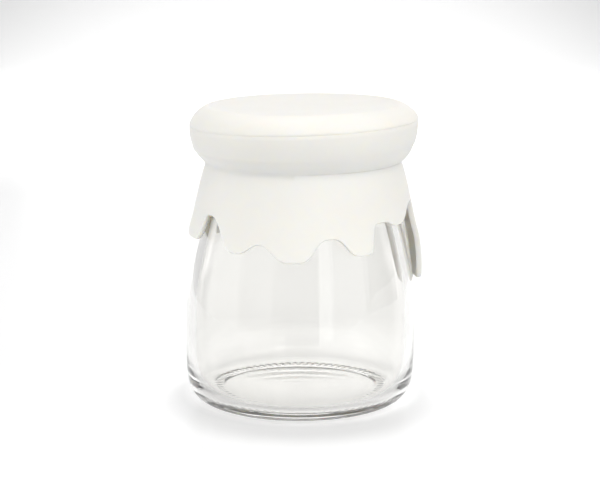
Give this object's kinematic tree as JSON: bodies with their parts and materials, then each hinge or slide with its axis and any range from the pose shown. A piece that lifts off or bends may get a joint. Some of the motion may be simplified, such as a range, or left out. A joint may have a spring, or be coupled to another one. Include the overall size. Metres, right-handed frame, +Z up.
{
  "type": "lidded jar",
  "caption": "Small clear glass dessert jar with a soft white push-on lid whose skirt is moulded as dripping cream.",
  "frame": {"origin": "under the middle of the whole object's box, on the surface the jar stands on; 18 mm up the jar's own axis is at x = -0.3 mm and the lid's at x = +0.12 mm, and both lean 0.45 degrees towards +X", "axes": "+Z up along the jar's axis; the side with the three broad drips faces -Y, and the one long drip hangs on the +X side"},
  "size_m": [0.0587, 0.0571, 0.0736],
  "materials": {
    "clear_glass": "clear pressed glass, polished by fire",
    "white_silicone": "matte moulded silicone"
  },
  "bodies": {
    "root": {"jar": "clear_glass", "lid": "white_silicone"}
  },
  "joints": []
}
